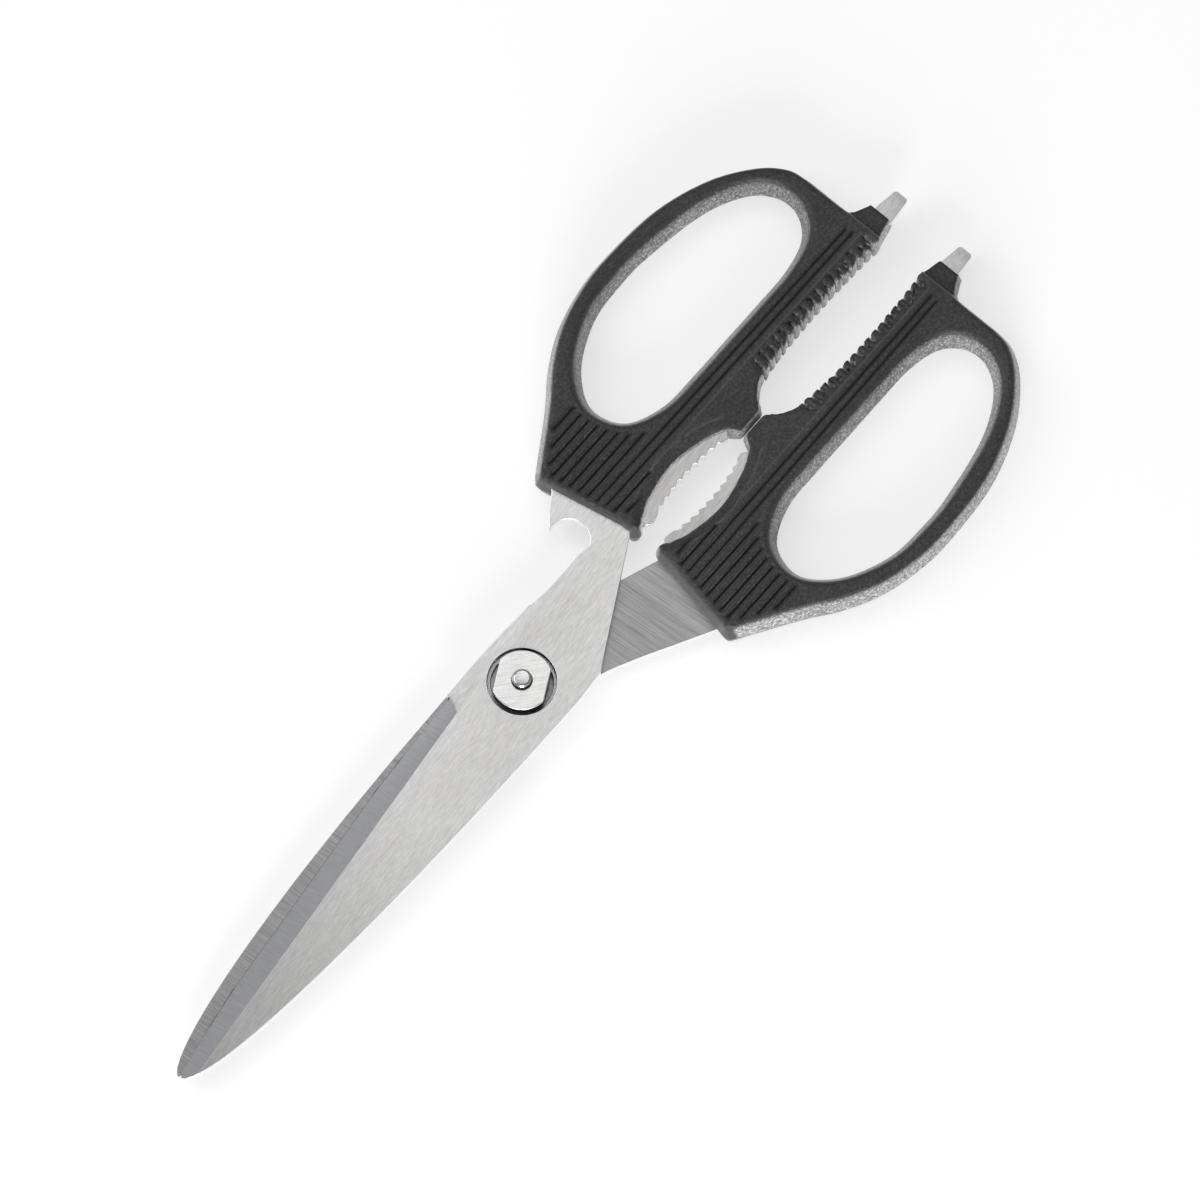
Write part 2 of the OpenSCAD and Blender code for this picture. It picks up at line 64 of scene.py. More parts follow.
GRIP_REACH = 123.4
HALF_WIDTH = 46.8
HALF_T = 4.8
SWELL = 1.28
LOOP_SWELL = 2.0
FRONT_X, SHOULDER_X, SHOULDER_Y = 40.1, 36.0, 26.4
LOOP_X0, LOOP_X1, LOOP_Y0, LOOP_Y1 = 53.9, 119.7, 14.9, 43.6
NUB_X, NUB_LEN, STOP_GAP = 75.1, 6.4, 0.08
BOSS_X, BOSS_STEP = 128.8, 0.8
RIB_Y0, RIB_PITCH, RIB_COUNT = 7.0, 2.15, 12
TOOTH_X0, TOOTH_PITCH, TOOTH_COUNT = 85.3, 2.25, 17
JAW_X0, JAW_X1, JAW_Y, JAW_COVER_Y, JAW_ROOT_Y = 43.2, 70.8, 3.3, 6.75, 9.2
JAW_MID = (JAW_X0 + JAW_X1) / 2
BLADE_Z0, BLADE_T = 0.02, 2.5
BLADE_Z1 = BLADE_Z0 + BLADE_T


# ------------------------------------------------------------------ curves

def blend(a, b, c, d, t):
    return 0.5 * (2 * b + (c - a) * t + (2 * a - 5 * b + 4 * c - d) * t * t
                  + (3 * b - a - 3 * c + d) * t * t * t)


def smooth(points, n=5):
    p = [np.array(q, float) for q in points]
    out = []
    for i in range(len(p) - 1):
        for j in range(n):
            out.append(blend(p[max(i - 1, 0)], p[i], p[i + 1], p[min(i + 2, len(p) - 1)], j / n))
    out.append(p[-1])
    return [tuple(q) for q in out]


def arc(c, r, a0, a1, n=8):
    return [(c[0] + r * math.cos(math.radians(a0 + (a1 - a0) * i / n)),
             c[1] + r * math.sin(math.radians(a0 + (a1 - a0) * i / n))) for i in range(n + 1)]


def step(e0, e1, x):
    t = np.clip((x - e0) / (e1 - e0), 0, 1)
    return t * t * (3 - 2 * t)


def resample(points, pitch):
    """Points of a closed outline (x, y, width of its rounded edge) with no side longer than pitch."""
    out = []
    for a, b in zip(points, points[1:] + points[:1]):
        a, b = np.array(a, float), np.array(b, float)
        length = np.hypot(*(b - a)[:2])
        if length < 1e-6:
            continue
        n = max(1, math.ceil(length / pitch))
        out += [a + (b - a) * i / n for i in range(n)]
    return np.array(out)


# ------------------------------------------------------------------ grip outlines

MID = np.array((FRONT_X + 8, 1.5))
GROW = np.array((1 + SWELL / (GRIP_REACH - MID[0]), 1 + SWELL / (HALF_WIDTH - MID[1])))
STRAIGHT = 0.7
EDGE_W, LOOP_W, TIGHT_W, BOSS_W, CORNER_W = SWELL / STRAIGHT, LOOP_SWELL / STRAIGHT, 0.5, 0.9, 1.1
TOOTH_W, TOOTH_SLOT_W, TOOTH_ROOT_Y = 0.2, 0.34, 8.0


def swollen(points):
    return [tuple(MID + GROW * (np.array(p) - MID)) for p in points]


def grip_outline():
    w = HALF_WIDTH
    back = smooth([
        (SHOULDER_X, SHOULDER_Y), (49, 0.738 * w), (56, 0.846 * w), (64, 0.935 * w), (73, 0.985 * w), (82, w),
        (GRIP_REACH - 26.5, 0.976 * w), (GRIP_REACH - 14.1, 0.889 * w), (GRIP_REACH - 5.3, 0.763 * w),
        (GRIP_REACH - 1, 0.645 * w), (GRIP_REACH, 0.54 * w)], 6)
    back = [(*p, EDGE_W) for p in swollen(back)]
    end_x = back[-1][0]
    boss = [(end_x, 17, EDGE_W), (end_x, 15.2, 1.5), (end_x + 0.5, 14.3, 1.0), (BOSS_X - 0.9, 12.9, BOSS_W),
            (BOSS_X - 0.2, 12.7, BOSS_W), (BOSS_X, 12.2, BOSS_W), (BOSS_X, 7.2, BOSS_W), (BOSS_X - 0.3, 6.6, BOSS_W),
            (BOSS_X - 1, 6.3, BOSS_W), (GRIP_REACH + 1.5, 5.7, BOSS_W)]
    edge = smooth([
        (GRIP_REACH, 5.4), (GRIP_REACH - 2, 5.7), (GRIP_REACH - 11, 6.1), (GRIP_REACH - 19, 6.3),
        (GRIP_REACH - 28, 6.1), (88, 5.4), (83.5, 4.5), (NUB_X + 5.3, 2.6), (NUB_X + 4.6, 1.6)], 6)
    ex = np.array([p[0] for p in edge])[::-1]
    ey = np.array([p[1] for p in edge])[::-1]

    def side(x):
        return float(np.interp(x, ex, ey))

    # Seventeen narrow slots with rounded knuckles between them.
    jar = [(GRIP_REACH - 0.4, side(GRIP_REACH - 0.4), TOOTH_W)]
    slot_w, root = TOOTH_SLOT_W, TOOTH_ROOT_Y
    for k in range(TOOTH_COUNT - 1, -1, -1):
        x = TOOTH_X0 + k * TOOTH_PITCH
        y = side(x)
        jar += [(x + slot_w / 2 + 0.28, y + 0.06, TOOTH_W), (x + slot_w / 2 + 0.06, y + 0.3, TOOTH_W),
                (x + slot_w / 2, y + 0.7, TOOTH_W)]
        jar += [(*p, TOOTH_W) for p in arc((x, root - slot_w / 2), slot_w / 2, 0, 180, 5)]
        jar += [(x - slot_w / 2, y + 0.7, TOOTH_W), (x - slot_w / 2 - 0.06, y + 0.3, TOOTH_W),
                (x - slot_w / 2 - 0.28, y + 0.06, TOOTH_W)]
    low = [p for p in edge if p[0] < TOOTH_X0 - 1.0]
    jar += [(p[0], p[1], TIGHT_W + 0.2) for p in low]
    half = NUB_LEN / 2
    nub = [(NUB_X + half + 1.0, 1.2, 0.9), (NUB_X + half + 0.3, 0.35, 0.9), (NUB_X + half - 0.5, STOP_GAP / 2, 0.9),
           (NUB_X - half + 0.5, STOP_GAP / 2, 0.9), (NUB_X - half - 0.3, 0.35, 0.9), (NUB_X - half - 1.1, 1.7, 0.7)]
    cover = smooth([(NUB_X - 4.7, 2.9), (65.5, 5.1), (JAW_MID, JAW_COVER_Y), (48.5, 5.6), (JAW_X0 + 0.4, 3.7)], 8)
    cover = [(*p, 0.32) for p in cover]
    corner = [(JAW_X0 - 0.7, 2.75, 0.7), (JAW_X0 - 1.3, 2.35, 1.0)]
    corner += [(*p, CORNER_W) for p in arc((FRONT_X + 1.6, 4.3), 2.1, 262, 190, 6)]
    front = [(FRONT_X - 0.75, 6.6, 1.3), (SHOULDER_X - 0.1, SHOULDER_Y - 2.6, 1.3)]
    round_off = [(SHOULDER_X - 0.45, SHOULDER_Y - 1.2, 1.4), (SHOULDER_X - 0.4, SHOULDER_Y + 0.2, 1.6)]
    return back[1:] + boss + jar + nub + cover + corner + front + round_off, cover


def loop_outline():
    w, h = LOOP_X1 - LOOP_X0, LOOP_Y1 - LOOP_Y0
    shape = [(0.5, -0.004), (0.66, -0.004), (0.81, 0.004), (0.93, 0.08), (0.993, 0.26), (0.995, 0.48),
             (0.93, 0.7), (0.78, 0.88), (0.545, 0.985), (0.41, 1), (0.26, 0.965), (0.11, 0.8), (0.02, 0.57),
             (0.004, 0.36), (0.05, 0.14), (0.175, 0.012), (0.33, -0.004), (0.5, -0.004)]
    mid = np.array(((LOOP_X0 + LOOP_X1) / 2, (LOOP_Y0 + LOOP_Y1) / 2))
    grow = np.array((1 - 2 * LOOP_SWELL / w, 1 - 2 * LOOP_SWELL / h))
    pts = smooth([(LOOP_X0 + a * w, LOOP_Y0 + b * h) for a, b in shape], 8)[:-1]
    return [(*(mid + grow * (np.array(p) - mid)), LOOP_W) for p in pts]


def nearest(p, ring):
    """Distance from each point of p to a closed outline, as a share of the outline's edge width there."""
    a, b = ring, np.roll(ring, -1, 0)
    best_u = np.full(len(p), 1e9)
    d = b[:, :2] - a[:, :2]
    dd = np.maximum((d * d).sum(1), 1e-12)
    for i in range(0, len(p), 1500):
        q = p[i:i + 1500, None, :]
        t = np.clip(((q - a[None, :, :2]) * d).sum(2) / dd, 0, 1)
        near = a[None, :, :2] + t[..., None] * d
        width = a[None, :, 2] + t * (b - a)[None, :, 2]
        dist = np.hypot(*(q - near).transpose(2, 0, 1))
        best_u[i:i + 1500] = (dist / width).min(1)
    return best_u


def inside(p, ring):
    x, y = p[:, 0][:, None], p[:, 1][:, None]
    a, b = ring, np.roll(ring, -1, 0)
    crosses = (a[None, :, 1] > y) != (b[None, :, 1] > y)
    dy = np.where(np.abs(b[:, 1] - a[:, 1]) < 1e-12, 1e-12, b[:, 1] - a[:, 1])
    at = a[None, :, 0] + (y - a[None, :, 1]) * ((b[:, 0] - a[:, 0]) / dy)[None]
    return (crosses & (x < at)).sum(1) % 2 == 1


def line_distance(p, line):
    best = np.full(len(p), 1e9)
    for a, b in zip(line, line[1:]):
        a, b = np.array(a[:2]), np.array(b[:2])
        d = b - a
        t = np.clip(((p - a) @ d) / max(d @ d, 1e-12), 0, 1)
        best = np.minimum(best, np.hypot(*(p - a - t[:, None] * d).T))
    return best


# ------------------------------------------------------------------ grip height

FRONT_SLOPE = (FRONT_X - SHOULDER_X) / (SHOULDER_Y - 3.4)
GROOVE_W = 0.47
GROOVE_DEPTH = 0.85


def groove_start(y):
    return max(FRONT_X - FRONT_SLOPE * (y - 3.4) + 1.6, SHOULDER_X + 3.0 + (y - SHOULDER_Y + 0.6) * 1.43)


def groove_end(y):
    if y < LOOP_Y0 + 2:
        return 59.0
    return LOOP_X0 - 0.6 + 3.4 * ((abs(y - LOOP_Y0 - 0.45 * (LOOP_Y1 - LOOP_Y0))) / 10) ** 2


def grooves():
    out = []
    for i in range(RIB_COUNT):
        y = RIB_Y0 + i * RIB_PITCH
        x0, x1, y1 = groove_start(y), groove_end(y), y
        if i == 0:
            x0, x1 = x0 + 1, 47.5
        if i == 1:
            x1 = 53
        if i == 2:
            x1, y1 = 121.5, 10.9
        if i == 3:
            x1, y1 = 121.0, 12.5
        out.append((x0, y, x1, y1))
    return out


GROOVES = grooves()


def face_height(p, cover):
    x, y = p[:, 0], p[:, 1]
    h = np.full(len(p), HALF_T)
    # Each point's share of a groove is kept for painted shade in the grooves.
    groove_shade = np.zeros(len(p))
    for x0, y0, x1, y1 in GROOVES:
        t = np.clip((x - x0) / (x1 - x0), 0, 1)
        r = np.abs(y - (y0 + (y1 - y0) * t))
        fade = step(x0 - 0.2, x0 + 0.9, x) * (1 - step(x1 - 0.9, x1 + 0.2, x))
        narrow = 1.0 if x1 < 100 else 0.7
        cut = np.exp(-(r / (GROOVE_W * narrow)) ** 2.6) * fade
        groove_shade = np.maximum(groove_shade, cut)
        h -= GROOVE_DEPTH * narrow * cut
    ridges = step(37, 39, x) * (1 - step(52, 55, x)) * step(8.2, 9.2, y) * (1 - step(29.5, 31, y))
    h -= 0.22 * ridges * (0.5 + 0.5 * np.cos(2 * math.pi * (y - RIB_Y0) / RIB_PITCH))
    # Inside the long crease the face falls towards the long axis.
    pad = step(57, 62, x) * (1 - step(121.5, 123, x))
    h -= 0.2 * np.maximum(9.3 - y, 0) * pad
    # A fine rim stands behind the crease.
    crease = np.exp(-((y - 9.45) / 0.16) ** 2) * pad
    h += 0.10 * crease
    # The face is scooped out round the nutcracker jaw.
    d = line_distance(p, cover)
    scoop = 3.0 + (HALF_T - 3.0) * np.clip(d / 2.7, 0, 1) ** 0.85
    near = (x < NUB_X - 3) & (y < 13)
    h = np.where(near & (d < 2.7), np.minimum(h, scoop), h)
    # The screwdriver boss is set back behind the end face.
    h -= BOSS_STEP * step(GRIP_REACH - 0.1, GRIP_REACH + 0.5, x)
    # Painted highlight: paler lines along the rim behind the crease, the scoop's ridge and the boss step.
    edge_highlight = 0.5 * crease
    edge_highlight = np.maximum(edge_highlight, 0.6 * np.exp(-((d - 2.72) / 0.18) ** 2) * near)
    edge_highlight = np.maximum(edge_highlight, np.exp(-((x - GRIP_REACH - 0.05) / 0.22) ** 2) * (y < 16))
    return np.minimum(h, HALF_T - 0.01), groove_shade, edge_highlight


def roundover(u):
    """Share of the height reached at share u of the edge's width: a straight drafted wall, then a rounded edge."""
    u = np.clip(u, 0, 1)
    bend = 2 * STRAIGHT - 1
    over = np.maximum(u - bend, 0)
    return u / STRAIGHT - over ** 2 / (4 * (1 - STRAIGHT) * STRAIGHT)


def ring_points(ring, shares, keep):
    """Points at shares of the edge's width inside an outline; keep tells which side is plastic."""
    a = np.roll(ring, 1, 0)[:, :2]
    b = np.roll(ring, -1, 0)[:, :2]
    t = b - a
    n = np.stack((-t[:, 1], t[:, 0]), 1) / np.maximum(np.hypot(*t.T), 1e-9)[:, None]
    trial = ring[:40, :2] + n[:40] * 0.05
    if keep(trial).mean() < 0.5:
        n = -n
    out = []
    for s in shares:
        q = ring[:, :2] + n * ring[:, 2:3] * s
        out.append(q[nearest(q, ring) > 0.92 * s])
    return np.concatenate(out)


def grip_mesh():
    outer_pts, cover = grip_outline()
    outer = resample(outer_pts, 0.62)
    loop = resample(loop_outline(), 0.62)

    def plastic(p):
        return inside(p, outer) & ~inside(p, loop)

    shares = (0.05, 0.13, 0.24, 0.38, 0.55, 0.76, 1.0)
    groups = [ring_points(outer, shares, plastic), ring_points(loop, shares, plastic)]
    for x0, y0, x1, y1 in GROOVES:
        n = max(4, int((x1 - x0) / 0.62))
        x = np.linspace(x0 - 0.3, x1 + 0.3, n)
        y = y0 + (y1 - y0) * np.clip((x - x0) / (x1 - x0), 0, 1)
        for off in (0, 0.14, -0.14, 0.28, -0.28, 0.44, -0.44, 0.66, -0.66, 0.95, -0.95):
            groups.append(np.stack((x, y + off), 1))
    x = np.arange(57, 122.5, 0.7)
    for y in (9.0, 9.22, 9.34, 9.45, 9.56, 9.7):
        groups.append(np.stack((x, np.full(len(x), y)), 1))
    c = np.array([p[:2] for p in cover])
    normal = np.gradient(c, axis=0)
    normal = np.stack((normal[:, 1], -normal[:, 0]), 1) / np.hypot(*normal.T)[:, None]
    if normal[len(c) // 2][1] < 0:
        normal = -normal
    for d in (0.6, 1.0, 1.5, 2.0, 2.4, 2.62, 2.72, 2.85):
        groups.append(c + normal * d)
    xs = np.arange(BOSS_X - 6.2, BOSS_X - 4, 0.2)
    for y in np.arange(5, 15, 0.5):
        groups.append(np.stack((xs, np.full(len(xs), y)), 1))
    gx, gy = np.meshgrid(np.arange(35, 130, 1.3), np.arange(0, 50, 1.3))
    grid = np.stack((gx.ravel(), gy.ravel()), 1)
    groups.append(grid)
    p = np.concatenate(groups)
    p = p[plastic(p)]
    u = np.minimum(nearest(p, outer), nearest(p, loop))
    p = p[u > 0.04]
    # Later groups give way to earlier ones that are already close by.
    cells, kept = set(), []
    for i, q in enumerate(p):
        key = (int(q[0] / 0.13), int(q[1] / 0.13))
        if key not in cells:
            cells.add(key)
            kept.append(i)
    p = p[kept]
    n_out, n_loop = len(outer), len(loop)
    rim = np.concatenate((outer[:, :2], loop[:, :2]))
    all_p = np.concatenate((rim, p))
    edges = [(i, (i + 1) % n_out) for i in range(n_out)]
    edges += [(n_out + i, n_out + (i + 1) % n_loop) for i in range(n_loop)]
    v, _, faces, orig, _, _ = delaunay_2d_cdt([Vector(q) for q in all_p], edges, [], 0, 1e-6)
    v = np.array([tuple(q) for q in v])
    faces = np.array([tuple(f) for f in faces])
    centre = v[faces].mean(1)
    faces = faces[plastic(centre)]
    on_rim = np.array([any(k < n_out + n_loop for k in o) for o in orig])
    z, groove_shade, edge_highlight = face_height(v, cover)
    # The band by the front face, where the walls' painted light is left off.
    ahead = FRONT_X - FRONT_SLOPE * (v[:, 1] - 3.4) + 1.4 - v[:, 0]
    wall_light_off = step(-0.4, 0.2, ahead) * (v[:, 1] < SHOULDER_Y + 2)
    rise = roundover(nearest(v, outer)) * roundover(nearest(v, loop))
    z = z * rise
    # Marks for painted groove shade, painted edge highlight, and the band where the walls' painted light is left off.
    marks = np.stack((groove_shade * rise, edge_highlight * rise, wall_light_off), 1)
    z[on_rim] = 0
    z = np.maximum(z, 0)
    used = np.unique(faces)
    index = np.full(len(v), -1)
    index[used] = np.arange(len(used))
    v, z, on_rim, marks, faces = v[used], z[used], on_rim[used], marks[used], index[faces]
    # The lower side mirrors the upper one, and the two share the parting line.
    low = np.arange(len(v))
    low[~on_rim] = len(v) + np.arange((~on_rim).sum())
    top = np.column_stack((v, z))
    bottom = np.column_stack((v[~on_rim], -z[~on_rim]))
    area = np.cross(v[faces[:, 1]] - v[faces[:, 0]], v[faces[:, 2]] - v[faces[:, 0]])
    faces = np.where((area > 0)[:, None], faces, faces[:, ::-1])
    marks = np.concatenate((marks, marks[~on_rim]))
    return np.concatenate((top, bottom)), np.concatenate((faces, low[faces][:, ::-1])), marks


# ------------------------------------------------------------------ objects

def link(name, mesh, node, body):
    obj = bpy.data.objects.new(name, mesh)
    bpy.context.scene.collection.objects.link(obj)
    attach(obj, body)
    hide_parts(node)
    return obj


def from_arrays(name, verts, faces, place):
    mesh = bpy.data.meshes.new(name)
    mesh.from_pydata([tuple(q) for q in verts], [], [tuple(int(i) for i in f) for f in faces])
    mesh.transform(place)
    mesh.validate()
    mesh.polygons.foreach_set("use_smooth", [True] * len(mesh.polygons))
    mesh.update()
    return mesh


def bake(obj):
    """Applies the object's modifiers to its mesh."""
    graph = bpy.context.evaluated_depsgraph_get()
    bpy.context.view_layer.update()
    mesh = bpy.data.meshes.new_from_object(obj.evaluated_get(graph))
    mesh.name = obj.name
    obj.modifiers.clear()
    obj.data = mesh


def break_edges(obj, width, segments=2, angle=24):
    """Breaks the sharp edges as tumbling does, and keeps the flats flat."""
    m = obj.modifiers.new("edges", "BEVEL")
    m.width = width
    m.segments = segments
    m.limit_method = "ANGLE"
    m.angle_limit = math.radians(angle)
    m.use_clamp_overlap = False
    m.harden_normals = False
    w = obj.modifiers.new("normals", "WEIGHTED_NORMAL")
    w.keep_sharp = True
    w.weight = 80
    bake(obj)


def copy_of(node, name, body, width, segments=2, angle=24):
    mesh = frame["nodes"][node].data.copy()
    mesh.name = name
    mesh.materials.clear()
    bm = bmesh.new()
    bm.from_mesh(mesh)
    bmesh.ops.remove_doubles(bm, verts=bm.verts, dist=2e-6)
    bmesh.ops.dissolve_limit(bm, angle_limit=math.radians(0.6), verts=bm.verts, edges=bm.edges)
    bmesh.ops.recalc_face_normals(bm, faces=bm.faces)
    for f in bm.faces:
        f.smooth = True
    bm.to_mesh(mesh)
    bm.free()
    obj = link(name, mesh, node, body)
    if width:
        break_edges(obj, width, segments, angle)
    return obj


# ------------------------------------------------------------------ nutcracker jaws

def jaw_edge(x):
    return JAW_Y - 2 * ((x - JAW_MID) / (JAW_X1 - JAW_X0) * 2) ** 2


def jaw_piece(name, node, body, place):
    pts = arc((JAW_X0 + 1.6, jaw_edge(JAW_X0 + 1.6) + 1.6), 1.6, 180, 270, 8)
    x0, x1 = JAW_X0 + 1.9, JAW_X1 - 1.7
    pitch = 2.36
    n = int((x1 - x0) / 0.12)
    for i in range(n + 1):
        x = x0 + (x1 - x0) * i / n
        t = ((x - JAW_X0 - 3.4) / pitch) % 1.0
        wave = 0.7 * (t / 0.7 if t < 0.7 else (1 - t) / 0.3)
        live = step(JAW_X0 + 3, JAW_X0 + 4.2, np.array(x)) * (1 - step(JAW_X1 - 4, JAW_X1 - 3, np.array(x)))
        pts.append((x, jaw_edge(x) + float(live) * wave))
    pts += [(JAW_X1, jaw_edge(JAW_X1 - 1.6) + 1.6), (JAW_X1, 6), (JAW_X1 - 3, JAW_ROOT_Y), (JAW_X0 + 4, JAW_ROOT_Y),
            (JAW_X0, 5.4)]
    bm = bmesh.new()
    low = [bm.verts.new((x, y, BLADE_Z0)) for x, y in pts]
    high = [bm.verts.new((x, y, BLADE_Z1)) for x, y in pts]
    bm.faces.new(low[::-1])
    bm.faces.new(high)
    for i in range(len(pts)):
        j = (i + 1) % len(pts)
        bm.faces.new((low[i], low[j], high[j], high[i]))
    bmesh.ops.recalc_face_normals(bm, faces=bm.faces)
    mesh = bpy.data.meshes.new(name)
    for f in bm.faces:
        f.smooth = True
    bm.to_mesh(mesh)
    bm.free()
    mesh.transform(place)
    obj = link(name, mesh, node, body)
    break_edges(obj, 0.00009, 2, 40)
    return obj


# ------------------------------------------------------------------ materials

class Nodes:
    """Short calls for a material's nodes."""

    def __init__(self, name):
        self.mat = bpy.data.materials.new(name)
        self.mat.use_nodes = True
        self.tree = self.mat.node_tree
        self.tree.nodes.clear()
        self.out = self.tree.nodes.new("ShaderNodeOutputMaterial")
        self.bsdf = self.tree.nodes.new("ShaderNodeBsdfPrincipled")
        self.tree.links.new(self.bsdf.outputs[0], self.out.inputs[0])

    def put(self, socket, value):
        self.bsdf.inputs[socket].default_value = value

    def join(self, a, b):
        self.tree.links.new(a, b)

    def coords(self, scale, turn=(0, 0, 0), centre=(0, 0, 0)):
        t = self.tree.nodes.new("ShaderNodeTexCoord")
        shift = self.tree.nodes.new("ShaderNodeVectorMath")
        shift.operation = "SUBTRACT"
        shift.inputs[1].default_value = centre
        self.join(t.outputs["Object"], shift.inputs[0])
        m = self.tree.nodes.new("ShaderNodeMapping")
        m.vector_type = "POINT"
        m.inputs["Rotation"].default_value = [math.radians(a) for a in turn]
        m.inputs["Scale"].default_value = (1, 1, 1)
        self.join(shift.outputs[0], m.inputs["Vector"])
        s = self.tree.nodes.new("ShaderNodeVectorMath")
        s.operation = "MULTIPLY"
        s.inputs[1].default_value = scale
        self.join(m.outputs[0], s.inputs[0])
        return s.outputs[0]

    def noise(self, vector, scale=1.0, detail=2.0, rough=0.5):
        n = self.tree.nodes.new("ShaderNodeTexNoise")
        n.inputs["Scale"].default_value = scale
        n.inputs["Detail"].default_value = detail
        n.inputs["Roughness"].default_value = rough
        self.join(vector, n.inputs["Vector"])
        return n.outputs["Fac"]

    def to_range(self, value, a, b, lo=0.0, hi=1.0):
        m = self.tree.nodes.new("ShaderNodeMapRange")
        m.inputs["From Min"].default_value = lo
        m.inputs["From Max"].default_value = hi
        m.inputs["To Min"].default_value = a
        m.inputs["To Max"].default_value = b
        self.join(value, m.inputs["Value"])
        return m.outputs[0]

    def math(self, op, a, b):
        m = self.tree.nodes.new("ShaderNodeMath")
        m.operation = op
        for i, v in enumerate((a, b)):
            if isinstance(v, (int, float)):
                m.inputs[i].default_value = v
            else:
                self.join(v, m.inputs[i])
        return m.outputs[0]

    def ramp(self, value, stops):
        r = self.tree.nodes.new("ShaderNodeValToRGB")
        el = r.color_ramp.elements
        el[0].position, el[0].color = stops[0][0], (*stops[0][1], 1)
        el[1].position, el[1].color = stops[-1][0], (*stops[-1][1], 1)
        for pos, col in stops[1:-1]:
            e = el.new(pos)
            e.color = (*col, 1)
        self.join(value, r.inputs[0])
        return r.outputs[0]

    def attribute(self, name):
        a = self.tree.nodes.new("ShaderNodeAttribute")
        a.attribute_type = "GEOMETRY"
        a.attribute_name = name
        return a.outputs["Fac"]

    def mix(self, share, a, b):
        m = self.tree.nodes.new("ShaderNodeMix")
        m.data_type = "RGBA"
        self.join(share, m.inputs["Factor"])
        for socket, value in ((6, a), (7, b)):
            if isinstance(value, tuple):
                m.inputs[socket].default_value = (*value, 1)
            else:
                self.join(value, m.inputs[socket])
        return m.outputs[2]

    def bump(self, height, strength, distance):
        b = self.tree.nodes.new("ShaderNodeBump")
        b.inputs["Strength"].default_value = strength
        b.inputs["Distance"].default_value = distance
        self.join(height, b.inputs["Height"])
        self.join(b.outputs[0], self.bsdf.inputs["Normal"])


# Painted shade: the blades' colour darkens from here towards the tip.
TIP_SHADE_X = -0.126


def steel(name, dark, light, along, across, turn=0.0, rough=(0.26, 0.42), bump=0.15, broad=0.35, lo=0.3, hi=0.7,
          tip=1.0):
    """Brushed stainless steel: fine lines of one direction, over broader streaks. tip is the tone at a blade's tip,
    where painted shade darkens the colour.
    """
    n = Nodes(name)
    fine = n.noise(n.coords((along, across, across), (0, 0, turn)), 1.0, 3.0, 0.6)
    wide = n.noise(n.coords((along * 0.35, across * 0.18, across * 0.18), (0, 0, turn)), 1.0, 2.0, 0.5)
    cloud = n.noise(n.coords((55, 55, 55)), 1.0, 2.0, 0.5)
    both = n.math("ADD", n.math("MULTIPLY", fine, 1 - broad), n.math("MULTIPLY", wide, broad))
    both = n.math("ADD", n.math("MULTIPLY", both, 0.9), n.math("MULTIPLY", cloud, 0.1))
    colour = n.ramp(both, [(lo, dark), (hi, light)])
    # Painted shade: the colour is darkened towards the blade's tip.
    if tip < 1:
        part = n.tree.nodes.new("ShaderNodeSeparateXYZ")
        n.join(n.coords((1, 1, 1)), part.inputs[0])
        shade = n.to_range(part.outputs[0], 1 - tip, 0.0, TIP_SHADE_X, TIP_SHADE_X + 0.076)
        colour = n.mix(shade, colour, (0.0, 0.0, 0.0))
    n.join(colour, n.bsdf.inputs["Base Color"])
    n.join(n.to_range(fine, rough[1], rough[0]), n.bsdf.inputs["Roughness"])
    n.put("Metallic", 1.0)
    n.put("Anisotropic", 0.3)
    n.bump(both, bump, 0.00004)
    return n.mat


def turned_steel(name, dark, light, rings):
    """Steel faced on a lathe: faint rings about the pivot."""
    n = Nodes(name)
    w = n.tree.nodes.new("ShaderNodeTexWave")
    w.wave_type = "RINGS"
    w.rings_direction = "Z"
    w.inputs["Scale"].default_value = rings
    w.inputs["Distortion"].default_value = 1.2
    w.inputs["Detail"].default_value = 3.0
    w.inputs["Detail Scale"].default_value = 1.5
    n.join(n.coords((1, 1, 1), centre=tuple(PIVOT)), w.inputs["Vector"])
    grain = n.noise(n.coords((260, 3600, 3600), (0, 0, 40)), 1.0, 3.0, 0.6)
    mix = n.math("ADD", n.math("MULTIPLY", w.outputs["Fac"], 0.25), n.math("MULTIPLY", grain, 0.75))
    n.join(n.ramp(mix, [(0.25, dark), (0.7, light)]), n.bsdf.inputs["Base Color"])
    n.join(n.to_range(mix, 0.34, 0.2), n.bsdf.inputs["Roughness"])
    n.put("Metallic", 1.0)
    n.bump(mix, 0.12, 0.00003)
    return n.mat


